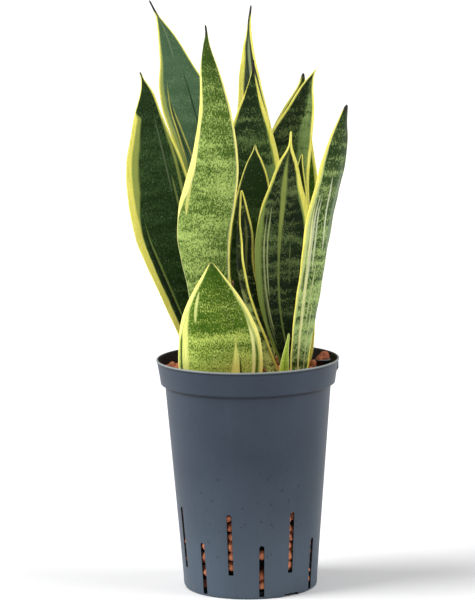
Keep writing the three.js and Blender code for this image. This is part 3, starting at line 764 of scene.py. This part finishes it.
LEAF_LOOKS["leaf_rear_right"] = dict(
    GREY_LEAF, bands=0.6, wave=0.6, taller=4, tip=252, dark=(34, 66, 4), light=(116, 148, 52),
    tint=(62, 96, 24), inner=(140, 158, 66),
    light_share=[[0, 0.5], [170, 0.4], [255, 0.1]],
    left=[[0, 2.6, 3], [60, 2.2, 2.8], [200, 2.2, 2.8], [255, 0.8, 0.8]],
    right=[[0, 2, 2.4], [180, 2.2, 2.8], [255, 0.6, 0.6]],
    stripes=[(190, 244, -0.5, -0.3, 2, (34, 50, 26))],
)

for number, (node, looks) in enumerate(LEAF_LOOKS.items()):
    looks["seed"] = 3.7 * number
    material = leaf_material(node, looks)
    mesh = leaf_mesh(node, looks, number)
    add_piece(node + "_blade", mesh, [material], [node])

# ---------- dried scrap


def scrap_material():
    """Dried leaf: brown fibres, bleached in places."""
    look = Look("dried_leaf")
    x, y, z = look.parts(look.place())
    fibres = look.noise(look.vector(x * 900, y * 900, z * 300), 1, 3, 0.6)
    colour = look.mix(look.step(fibres, 0.35, 0.65), rgb(62, 44, 30), rgb(150, 118, 84))
    return look.finish(colour, look.scaled(fibres, 0.2, 0.7), fibres, 0.2, 0.2)


SCRAP_HEIGHT = LEAF_BASE + 96
SCRAP_THICKNESS = 0.44
SCRAP_ROWS = 26
SCRAP_RING = 10
SCRAP_PATH = (
    (-2, 0.7, -3), (0, 1, -1.2), (1, 1.3, 0.8), (1, 1.5, 2.4), (0.2, 1.5, 3.1), (-0.5, 1.4, 2.5),
)
SCRAP_WIDTHS = (0.5, 0.8, 0.9, 0.75, 0.55, 0.2)


def dried_scrap():
    """A curled scrap of dried leaf caught behind the front leaf's right margin."""
    (x, y, angle, width, _), _, _ = section_at("leaf_front", SCRAP_HEIGHT)
    margin = np.array([x, y]) + leaf_axes(angle)[0] * width / 2
    steps = np.arange(len(SCRAP_PATH), dtype=float)
    path = np.column_stack([SCRAP_PATH, SCRAP_WIDTHS])
    path = smooth_through(steps, path, np.linspace(0, steps[-1], SCRAP_ROWS))
    ahead = np.gradient(path[:, :3], axis=0)
    points = []
    for (dx, dy, dz, half), along in zip(path, ahead):
        centre = Vector((margin[0] + dx, margin[1] + dy, SCRAP_HEIGHT + dz))
        side = Vector(along).cross(Vector((0, 1, 0))).normalized()
        for k in range(SCRAP_RING):
            t = 2 * math.pi * k / SCRAP_RING
            forward = Vector((0, -SCRAP_THICKNESS / 2 * math.sin(t), 0))
            points.append(centre + side * half * math.cos(t) + forward)
    return mesh_from("dried_scrap", points, closed_tube_faces(SCRAP_ROWS, SCRAP_RING))


add_piece("dried_scrap", dried_scrap(), [scrap_material()])

# ---------- culture pot

POT_HEIGHT = 190
RIM_RADIUS = 75
FOOT_RADIUS = 54.8
BODY_TOP_RADIUS = 68
BAND_LOW_RADIUS = 71.6
BAND_BOTTOM = 170
BAND_CHAMFER = 1.4
LIP_BOTTOM = POT_HEIGHT - 1.8
LIP_STEP = 0.5
WALL = 1.1
FOOT_ROUND = 2.4
FLOOR_LIFT = 2.4
FLOOR_TOP = 4.6
FOOT_RING_WIDTH = 6
CENTRE_PAD_RADIUS = 12
SLOT_COUNT = 14
SLOT_WIDTH = 4.2
SLOT_BEARING = -16.5
HIGH_SLOT = (20, 71)
LOW_SLOT = (2, 45)
NOTCH_COUNT = 3
NOTCH_WIDTH = 16
NOTCH_BEARING = 37
LUG_BEARING = 92
LUG_HALF_WIDTH = 3
LUG_RADIUS = 74.4
LUG_BOTTOM = 178.6
POT_SEGMENTS = SLOT_COUNT * 18
SHARP_BEND = 32

# Heights in the pot's looks, in metres as the nodes give them: at the first the mark is not
# there, and at the second it is whole.
GROOVE_SHADE_HEIGHTS = (0.086, 0.07)
# Where the painted highlight along the top edge of the lip starts, and where it is whole.
LIP_HIGHLIGHT_HEIGHTS = (0.1884, 0.1897)
PIT_HEIGHTS = (0.12, 0.085)
# Painted light thrown back up by the floor: none at the first height, whole at the foot.
BOUNCE_LIGHT_HEIGHTS = (0.12, 0.0)
SCUFF_HEIGHTS = (0.012, 0.002)
# Heights of the painted shadow lines under the band and under the lip, in metres.
BAND_SHADOW_HEIGHT = 0.1685
LIP_SHADOW_HEIGHT = 0.1878
# A faint painted shade, for a shallow groove, runs up beside each slot, this far from the slot's
# middle, in mm.
TRACE_OFFSET = 4.1
TRACE_RADIUS = 58


def wall_radius(height):
    """The outer radius of the pot's body at a height."""
    share = (height - FOOT_ROUND) / (BAND_BOTTOM - BAND_CHAMFER - FOOT_ROUND)
    return FOOT_RADIUS + (BODY_TOP_RADIUS - FOOT_RADIUS) * share


def inner_radius(height):
    """The pot's inner radius at a height."""
    if height <= BAND_BOTTOM:
        return wall_radius(height) - WALL
    share = (height - BAND_BOTTOM) / (POT_HEIGHT - BAND_BOTTOM)
    return BAND_LOW_RADIUS - WALL + (RIM_RADIUS - LIP_STEP - BAND_LOW_RADIUS) * share


def pot_material(name, base, dust):
    """Moulded plastic: faint flow streaks, a fine satin grain, dark pits, pale dust, and painted light
    and shade.
    """
    look = Look(name)
    place = look.place()
    x, y, z = look.parts(place)
    clouds = look.noise(place, 22, 3)
    grain = look.noise(place, 900, 3, 0.7)
    streaks = look.noise(look.vector(x * 160, y * 160, z * 9), 1, 3)
    colour = look.mix(look.step(clouds, 0.3, 0.7), rgb(*base), rgb(*[c + 7 for c in base]))
    colour = look.shade(colour, look.scaled(streaks, 0.1, 0.95))
    colour = look.shade(colour, look.scaled(grain, 0.5, 0.75))
    turn = look.math("ARCTAN2", x, y * -1) * (180 / math.pi)
    pitch = 360 / SLOT_COUNT
    from_slot = look.math("PINGPONG", turn - SLOT_BEARING, pitch / 2)
    off = abs(from_slot * math.radians(1) * TRACE_RADIUS - TRACE_OFFSET)
    # Painted shade: a faint darker line for the shallow groove beside each slot, on the lower wall.
    groove_shade = look.step(off, 1.3, 0.2) * look.step(z, *GROOVE_SHADE_HEIGHTS)
    colour = look.shade(colour, 1 - groove_shade * 0.07)
    # Painted shadow: thin darker lines just under the band and under the lip, where their overhangs
    # shade the wall.
    band_shadow = look.step(abs(z - BAND_SHADOW_HEIGHT), 0.0022, 0.0004)
    lip_shadow = look.step(abs(z - LIP_SHADOW_HEIGHT), 0.0009, 0.0002)
    colour = look.shade(colour, 1 - look.math("MAXIMUM", band_shadow, lip_shadow) * 0.55)
    # Painted highlight: a pale line along the top edge of the lip, a third as strong on the inside
    # material.
    lip_highlight = look.step(z, *LIP_HIGHLIGHT_HEIGHTS) * 0.36 * dust
    colour = look.mix(lip_highlight, colour, rgb(214, 220, 212))
    pits = look.step(look.cells(place, 130), 0.17, 0.08)
    pits = pits * (look.step(z, *PIT_HEIGHTS) * 0.6 + 0.15)
    colour = look.mix(pits, colour, rgb(18, 21, 26))
    # Painted light: a pale blue-grey that grows towards the foot, standing in for the light that the
    # white floor throws back up.
    floor_bounce_light = look.step(z, *BOUNCE_LIGHT_HEIGHTS) * 0.15
    colour = look.mix(floor_bounce_light * dust, colour, rgb(132, 152, 168))
    scuffs = look.step(look.noise(place, 240, 4, 0.7), 0.6, 0.8)
    scuffs = scuffs * look.step(z, *SCUFF_HEIGHTS)
    motes = look.step(look.cells(place + 0.37, 120), 0.085, 0.04)
    pale = look.math("MAXIMUM", scuffs * 0.3, motes * 0.5) * dust
    colour = look.mix(pale, colour, rgb(176, 180, 184))
    roughness = look.scaled(clouds, 0.14, 0.38) + grain * 0.08
    return look.finish(colour, roughness, grain * 0.6 + streaks * 0.4, 0.06, 0.3)


def beside(radius, height, steps):
    """Profile points by their steps from a radius and a height."""
    return [(radius + out, height + up) for out, up in steps]


def pot_profile():
    """The pot's outer and inner outline, from the axis out and up, then in and down."""
    outside = [
        (0, 0),
        (CENTRE_PAD_RADIUS, 0),
        (CENTRE_PAD_RADIUS + 0.6, FLOOR_LIFT),
        (FOOT_RADIUS - FOOT_ROUND - FOOT_RING_WIDTH, FLOOR_LIFT),
        (FOOT_RADIUS - FOOT_ROUND - FOOT_RING_WIDTH + 0.3, 0),
        (FOOT_RADIUS, 0),
        (FOOT_RADIUS + 0.4, FOOT_ROUND * 2),
    ]
    outside = rounded(outside, 5, FOOT_ROUND, 6)
    outside += [(wall_radius(h), h) for h in (*range(10, 165, 12), 167)]
    band_steps = [(-0.5, -0.2), (-0.1, 0.1), (0, 0.5), (0.8, 6), (1.8, 12)]
    outside += beside(BODY_TOP_RADIUS, BAND_BOTTOM, [(0.1, -BAND_CHAMFER), (0.7, -0.7)])
    outside += beside(BAND_LOW_RADIUS, BAND_BOTTOM, band_steps)
    outside += beside(RIM_RADIUS, LIP_BOTTOM, [(-LIP_STEP - 0.1, -0.2), (-0.1, 0.2), (0, 0.6)])
    outside += beside(RIM_RADIUS, POT_HEIGHT, [(0, -0.5), (-0.15, -0.15), (-0.5, 0)])
    inside = beside(RIM_RADIUS - LIP_STEP - WALL, POT_HEIGHT, [(0.4, 0), (0.1, -0.15), (0, -0.5)])
    inside += [(inner_radius(h), h) for h in (172, 168, *range(160, 5, -12), FLOOR_TOP)]
    return outside, inside + [(0, FLOOR_TOP)]


def prism(shape, inner, outer, bearing, points, faces):
    """Adds a [across, height] shape drawn out from one radius to another at a bearing."""
    start = len(points)
    turn = Matrix.Rotation(math.radians(bearing), 3, "Z")
    for radius in (inner, outer):
        points += [turn @ Vector((x, -radius, z)) for x, z in shape]
    faces += closed_tube_faces(2, len(shape), start)


def slot_shape(bottom, top):
    """A slot's outline, with a round top."""
    half = SLOT_WIDTH / 2
    shape = [(-half, bottom), (half, bottom)]
    for k in range(13):
        angle = math.pi * k / 12
        shape.append((half * math.cos(angle), top - half + half * math.sin(angle)))
    return shape


def carve(piece, cutters, operation="DIFFERENCE"):
    """Cuts the cutters' shape out of the piece's mesh, or joins it on."""
    points, faces = cutters
    tool = bpy.data.objects.new("cutter", mesh_from("cutter", points, faces))
    # A cut's walls take the pot's last material: the near-black inside plastic, which is painted
    # shade.
    tool.data.materials.append(piece.data.materials[-1 if operation == "DIFFERENCE" else 0])
    bpy.context.scene.collection.objects.link(tool)
    clean = bmesh.new()
    clean.from_mesh(tool.data)
    bmesh.ops.recalc_face_normals(clean, faces=clean.faces)
    clean.to_mesh(tool.data)
    clean.free()
    cut = piece.modifiers.new("cut", "BOOLEAN")
    cut.object = tool
    cut.operation = operation
    cut.solver = "EXACT"
    cut.material_mode = "TRANSFER"
    bpy.context.view_layer.update()
    depsgraph = bpy.context.evaluated_depsgraph_get()
    made = bpy.data.meshes.new_from_object(piece.evaluated_get(depsgraph))
    piece.modifiers.clear()
    piece.data = made
    bpy.data.objects.remove(tool)


def lug():
    """The small block under the lip, with its lower edge cut slanting."""
    top = LIP_BOTTOM + 0.5
    into_wall = 0.5
    section = [
        (inner_radius(LUG_BOTTOM) + into_wall, LUG_BOTTOM),
        (LUG_RADIUS - 1.2, LUG_BOTTOM),
        (LUG_RADIUS, LUG_BOTTOM + 2.4),
        (LUG_RADIUS, top),
        (inner_radius(top) + into_wall, top),
    ]
    turn = Matrix.Rotation(math.radians(LUG_BEARING), 3, "Z")
    points = [
        turn @ Vector((side, -radius, height))
        for side in (-LUG_HALF_WIDTH, LUG_HALF_WIDTH)
        for radius, height in section
    ]
    return points, closed_tube_faces(2, len(section))


def make_pot():
    """The pot, with its lug joined on and its slots and drainage notches cut out."""
    outside, inside = pot_profile()
    points, faces = turned(outside + inside, POT_SEGMENTS)
    mesh = mesh_from("culture_pot", points, faces)
    first_inside = len(outside) * POT_SEGMENTS
    # The inside gets a near-black copy of the same plastic as painted shade, for the dark within the
    # pot.
    materials = [
        pot_material("pot_outside", (43, 54, 68), 1),
        pot_material("pot_inside_shaded", (16, 17, 18), 0.3),
    ]
    piece = add_piece("culture_pot_shell", mesh, materials, ["culture_pot"])
    for polygon in mesh.polygons:
        if polygon.index >= first_inside:
            polygon.material_index = 1
    carve(piece, lug(), "UNION")
    slots = ([], [])
    for i in range(SLOT_COUNT):
        bottom, top = LOW_SLOT if i % 2 else HIGH_SLOT
        bearing = SLOT_BEARING + i * 360 / SLOT_COUNT
        shape = slot_shape(bottom, top)
        prism(shape, wall_radius(bottom) - 5, wall_radius(top) + 4, bearing, *slots)
    carve(piece, slots)
    notches = ([], [])
    half = NOTCH_WIDTH / 2
    top = half - 1.2
    shape = [(-half, -1), (half, -1), (top, FLOOR_LIFT), (-top, FLOOR_LIFT)]
    for i in range(NOTCH_COUNT):
        bearing = NOTCH_BEARING + i * 360 / NOTCH_COUNT
        prism(shape, FOOT_RADIUS - 10, FOOT_RADIUS + 5, bearing, *notches)
    carve(piece, notches)
    piece.data.shade_smooth()
    sharpen(piece.data, SHARP_BEND)


def sharpen(mesh, degrees):
    """Marks edges that bend by more than an angle as sharp."""
    work = bmesh.new()
    work.from_mesh(mesh)
    for edge in work.edges:
        bend = edge.calc_face_angle(0) if len(edge.link_faces) == 2 else 0
        edge.smooth = bend < math.radians(degrees)
    work.to_mesh(mesh)
    work.free()


make_pot()

# ---------- clay granules

FILL_TOP = 179
FILL_HEAP = 2.5
PEBBLE_PITCH = 7.4
LAYER_DROP = 5.2
EMPTY_CHANCE = 0.14


def clay_material():
    """Fired clay: rough, red-brown, each granule its own shade, with pores and pale dust."""
    look = Look("expanded_clay")
    place = look.place()
    tone = look.attribute("tone")
    clouds = look.noise(place, 260, 3, 0.6)
    grit = look.noise(place, 1600, 4, 0.7)
    pores = look.step(look.cells(place, 700), 0.3, 0.12)
    colour = look.mix(tone, rgb(162, 92, 62), rgb(224, 144, 104))
    colour = look.mix(look.step(clouds, 0.45, 0.75), colour, rgb(168, 94, 68))
    colour = look.mix(look.step(grit, 0.55, 0.75), colour, rgb(222, 166, 138))
    colour = look.mix(pores * 0.8, colour, rgb(70, 34, 26))
    height = clouds * 0.5 + grit * 0.3 - pores * 0.5
    return look.finish(colour, look.scaled(grit, 0.2, 0.75), height, 0.5, 0.25)


def shaded_bed_material():
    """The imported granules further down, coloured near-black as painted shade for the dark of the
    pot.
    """
    look = Look("packed_clay_shaded")
    place = look.place()
    lumps = look.cells(place, 130)
    # Painted shade: near-black in the hollows between the lumps, dark red-brown on them.
    colour = look.mix(look.step(lumps, 0.2, 0.7), rgb(66, 36, 26), rgb(14, 10, 9))
    colour = look.shade(colour, look.scaled(look.noise(place, 900, 3), 0.5, 0.7))
    return look.finish(colour, look.scaled(lumps, 0.1, 0.85), lumps * -1, 2, 0.2)


def pebble(shape, detail):
    """A lumpy granule about 1 mm in radius: its points and triangles."""
    work = bmesh.new()
    bmesh.ops.create_icosphere(work, subdivisions=detail, radius=1)
    points = []
    for vertex in work.verts:
        at = vertex.co
        lump = noise.noise(at * 0.9 + Vector((shape * 7.1, 0, 0)))
        dent = noise.noise(at * 2.4 + Vector((0, shape * 5.3, 0)))
        points.append(at * (1 + 0.3 * lump + 0.12 * dent))
    faces = [[v.index for v in face.verts] for face in work.faces]
    work.free()
    return np.array(points), np.array(faces)


class Heap:
    """Granules gathered into one mesh, each with its own shape, turn and tone."""

    def __init__(self, seed):
        self.random = random.Random(seed)
        self.shapes = {d: [pebble(s, d) for s in range(9)] for d in (2, 3)}
        self.points = []
        self.faces = []
        self.tones = []
        self.count = 0

    def add(self, centre, size, detail, into_wall=0.0):
        """Adds a granule, pressed flat where it would go into the pot's wall further."""
        points, faces = self.random.choice(self.shapes[detail])
        scale = np.array([self.random.uniform(0.86, 1.1) for _ in range(3)]) * size
        turn = Euler([self.random.uniform(0, 6.28) for _ in range(3)]).to_matrix()
        placed = (points * scale) @ np.array(turn).T + np.array(centre)
        limit = np.vectorize(inner_radius)(placed[:, 2]) + into_wall
        placed[:, :2] *= np.minimum(1, limit / np.hypot(*placed[:, :2].T))[:, None]
        self.points.append(placed)
        self.faces.append(faces + self.count)
        self.tones.append(np.full(len(points), self.random.random()))
        self.count += len(points)

    def mesh(self, name):
        mesh = mesh_from(name, np.concatenate(self.points), np.concatenate(self.faces).tolist())
        add_layer(mesh, "tone", np.concatenate(self.tones))
        return mesh


def leaf_lines(height):
    """Points along the middle of every leaf where a level plane at a height cuts it."""
    lines = []
    for node in LEAF_LOOKS:
        (x, y, angle, width, _), cup, fold = section_at(node, height)
        u = np.linspace(-1, 1, 25)
        across, rearward = leaf_axes(angle)
        deep = cup * width * (1 - np.abs(u) ** fold)
        line = np.array([x, y]) + np.outer(u * width / 2, across) + np.outer(deep, rearward)
        lines.append(line)
    return np.concatenate(lines)


clay = clay_material()
CUP_LOW, CUP_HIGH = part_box("gauge_cup")
CUP_SHIFT = Vector((1.8, 0, 0))
CUP_CENTRE = (CUP_LOW + CUP_HIGH) / 2 / MM - CUP_SHIFT
CUP_FLANGE = (CUP_HIGH.x - CUP_LOW.x) / 2 / MM - 0.4


def lumps(x, y):
    """How far the granules' surface stands above its mean level."""
    small = math.sin(x * 0.35) * math.cos(y * 0.35)
    broad = math.sin((x + 2 * y) * 0.17) / 2
    return FILL_HEAP / 2 * (small + broad)


def surface_granules():
    """Two staggered layers of granules that keep clear of the wall, the leaves and the cup."""
    heap = Heap(11)
    draw = heap.random.uniform
    stems = leaf_lines(FILL_TOP)
    count = int(70 / PEBBLE_PITCH) + 2
    for layer, detail in ((0, 3), (1, 2)):
        for row in range(-count, count + 1):
            for column in range(-count, count + 1):
                x = (column + 0.5 * (row % 2) + 0.35 * layer) * PEBBLE_PITCH + draw(-1.2, 1.2)
                y = (row * 0.87 + 0.4 * layer) * PEBBLE_PITCH + draw(-1.2, 1.2)
                size = draw(3.4, 5)
                height = FILL_TOP - 1 + lumps(x, y) - LAYER_DROP * layer + draw(-1, 1.4)
                if math.hypot(x, y) > inner_radius(height) - size - 0.2:
                    continue
                from_cup = math.hypot(x - CUP_CENTRE.x, y - CUP_CENTRE.y)
                if from_cup < CUP_FLANGE + size + 2.2 - 3 * layer:
                    continue
                if np.min(np.hypot(stems[:, 0] - x, stems[:, 1] - y)) < size + 0.8:
                    continue
                heap.add((x, y, height), size, detail)
    return heap.mesh("granules_on_top")


def slot_granules():
    """A column of granules behind each slot, and a darker column at each side of it."""
    heap = Heap(23)
    draw = heap.random.uniform
    for i in range(SLOT_COUNT):
        bottom, top = LOW_SLOT if i % 2 else HIGH_SLOT
        bearing = math.radians(SLOT_BEARING + i * 360 / SLOT_COUNT)
        height = max(bottom, FLOOR_TOP) + 2
        while height < top + 3:
            size = draw(3.2, 4.5)
            height += size
            if heap.random.random() > EMPTY_CHANCE:
                radius = inner_radius(height) - size * 0.9 - draw(0, 0.8)
                angle = bearing + draw(-1.8, 1.8) / radius
                heap.add(around_pot(radius, angle, height), size, 3, 0.6)
            for side in (-1, 1):
                radius = inner_radius(height) - size * 1.1 - draw(1, 4)
                angle = bearing + side * draw(6, 8) / radius
                heap.add(around_pot(radius, angle, height + draw(-3, 3)), size, 2)
            height += size * draw(0.9, 1.1)
    return heap.mesh("granules_at_slots")


def packed_bed():
    """The mass of granules under the surface ones, from the pot's floor up."""
    gap = 7.5
    profile = [(0, FLOOR_TOP + 0.3)]
    profile += [(inner_radius(h) - gap, h) for h in (5, 40, 80, 120, 160)]
    profile += [(inner_radius(170) - gap, 168)]
    profile += [(r, 170) for r in (56, 48, 40, 32, 24, 16, 8)] + [(0, 170)]
    points, faces = turned(profile, 96)
    shaken = []
    for point in points:
        at = Vector(point)
        push = noise.noise(at * 0.16)
        shaken.append(at + Vector((at.x, at.y, 40)).normalized() * push * 3)
    return mesh_from("packed_granules", shaken, faces)


add_piece("granules_on_top", surface_granules(), [clay], ["clay_granules"])
add_piece("granules_at_slots", slot_granules(), [clay])
add_piece("packed_granules", packed_bed(), [shaded_bed_material()])

# ---------- gauge cup

STONE_TAPER = 0.32
STONE_TONE = 0.3


def gauge_material():
    """Black moulded plastic, dusty, with a painted highlight along the top of its rim."""
    look = Look("gauge_plastic")
    place = look.place()
    grain = look.noise(place, 1200, 3, 0.6)
    dust = look.step(look.noise(place, 300, 4, 0.7), 0.5, 0.7)
    colour = look.mix(dust * 0.3, rgb(20, 21, 23), rgb(84, 76, 70))
    colour = look.shade(colour, look.scaled(grain, 0.3, 0.85))
    # Painted highlight: a pale grey line along the top edge of the rim.
    rim = look.step(look.parts(place)[2], CUP_HIGH.z - 0.0007, CUP_HIGH.z - 0.0002)
    colour = look.mix(rim * 0.6, colour, rgb(132, 136, 138))
    return look.finish(colour, look.scaled(dust, 0.2, 0.36), grain, 0.05, 0.5)


def gauge_cup():
    """The cup: a tube with a small flange at its mouth and a floor 9 mm down."""
    radius = CUP_FLANGE - 1.2
    top = CUP_HIGH.z / MM
    bottom = CUP_LOW.z / MM
    bore = radius - 0.9
    profile = [
        (0, bottom), (radius - 0.4, bottom), (radius, bottom + 0.4),
        (radius, top - 1.5), (radius + 0.2, top - 1.2), (CUP_FLANGE - 0.3, top - 1.2),
        (CUP_FLANGE, top - 0.9), (CUP_FLANGE, top - 0.3), (CUP_FLANGE - 0.3, top),
        (bore + 0.3, top), (bore, top - 0.3), (bore, top - 9), (0, top - 9),
    ]
    points, faces = turned(profile, 64)
    shift = np.array([CUP_CENTRE.x, CUP_CENTRE.y, 0])
    mesh = mesh_from("gauge_cup", np.array(points) + shift, faces)
    sharpen(mesh, 50)
    return mesh


def cup_granule(node, shape, place, size):
    """One granule lying in the cup's mouth, at a place from the middle of its rim."""
    points, faces = pebble(shape, 4)
    points[:, :2] *= 1 - STONE_TAPER * points[:, 2:]
    rim = np.array([CUP_CENTRE.x, CUP_CENTRE.y, CUP_HIGH.z / MM])
    mesh = mesh_from(node, points * np.array(size) + rim + np.array(place), faces.tolist())
    add_layer(mesh, "tone", np.full(len(points), STONE_TONE))
    return mesh


# Each stone's shape number, place from the middle of the cup's rim, and half sizes.
CUP_STONES = {
    "cup_granule_left": (6, (-2.6, -1, 0.4), (3.2, 3.4, 3.3)),
    "cup_granule_right": (4, (0.9, 0.4, 1.8), (4.5, 4.0, 5.0)),
}
add_piece("gauge_cup_shell", gauge_cup(), [gauge_material()], ["gauge_cup"])
for node, (shape, place, size) in CUP_STONES.items():
    stone = cup_granule(node, shape, place, size)
    add_piece(node + "_stone", stone, [clay], [node])

# ---------- rhizomes


def rhizome_material():
    """Woody skin: ochre, ringed with leaf scars, with root stubs and soil in the hollows."""
    look = Look("rhizome_skin")
    place = look.place()
    rings = look.noise(place, 240, 4, 0.6)
    colour = look.mix(look.step(rings, 0.35, 0.65), rgb(120, 84, 44), rgb(196, 152, 92))
    colour = look.mix(look.step(look.cells(place, 300), 0.3, 0.1), colour, rgb(80, 56, 34))
    return look.finish(colour, look.scaled(rings, 0.2, 0.6), rings, 0.8, 0.3)


skin = rhizome_material()
for node, shown in frame["nodes"].items():
    if node.startswith("rhizome"):
        shown.data.materials.clear()
        shown.data.materials.append(skin)

# ---------- floor, light, camera


def floor_material():
    """Plain pale paper."""
    look = Look("studio_floor")
    place = look.place()
    paper = look.noise(place, 14, 4)
    colour = look.mix(paper, rgb(246, 246, 246), rgb(252, 252, 252))
    return look.finish(colour, look.scaled(paper, 0.1, 0.8), paper, 0.1, 0.1)


def make_floor():
    reach = 20  # metres each way, so that the camera never sees an edge
    mesh = bpy.data.meshes.new("floor")
    corners = [(-reach, -reach, 0), (reach, -reach, 0), (reach, reach, 0), (-reach, reach, 0)]
    mesh.from_pydata(corners, [], [(0, 1, 2, 3)])
    mesh.materials.append(floor_material())
    floor = bpy.data.objects.new("floor", mesh)
    bpy.context.scene.collection.objects.link(floor)


def sun_light(name, heading, strength, spread):
    """A large soft light that falls evenly, along heading, over the whole floor."""
    light = bpy.data.lights.new(name, "SUN")
    light.energy = strength
    light.angle = math.radians(spread)
    lamp = bpy.data.objects.new(name, light)
    lamp.rotation_mode = "QUATERNION"
    lamp.rotation_quaternion = Vector(heading).to_track_quat("-Z", "Y")
    bpy.context.scene.collection.objects.link(lamp)


def make_camera():
    """The camera looks down a little, from far off, and is held a little askew."""
    pitch = 0.1446
    roll = 0.0135
    place = Vector((-0.0077, -2.5, 0.602))
    level = Vector((1, 0, 0))
    up = Vector((0, math.sin(pitch), math.cos(pitch)))
    ahead = Vector((0, math.cos(pitch), -math.sin(pitch)))
    right = level * math.cos(roll) - up * math.sin(roll)
    top = level * math.sin(roll) + up * math.cos(roll)
    data = bpy.data.cameras.new("camera")
    data.sensor_width = 36
    data.lens = 185.31
    camera = bpy.data.objects.new("camera", data)
    turn = Matrix((right, top, -ahead)).transposed().to_4x4()
    camera.matrix_world = Matrix.Translation(place) @ turn
    bpy.context.scene.collection.objects.link(camera)
    bpy.context.scene.camera = camera


make_floor()
sun_light("left", (1.0, 0.2, -0.8), 3.5, 42)
sun_light("right", (-1.0, 0.22, -0.8), 1.6, 46)
world = bpy.data.worlds.new("studio")
world.use_nodes = True
backdrop = world.node_tree.nodes["Background"]
backdrop.inputs["Color"].default_value = (1, 1, 1, 1)
backdrop.inputs["Strength"].default_value = 0.32
bpy.context.scene.world = world
bpy.context.scene.view_settings.view_transform = "Standard"
make_camera()
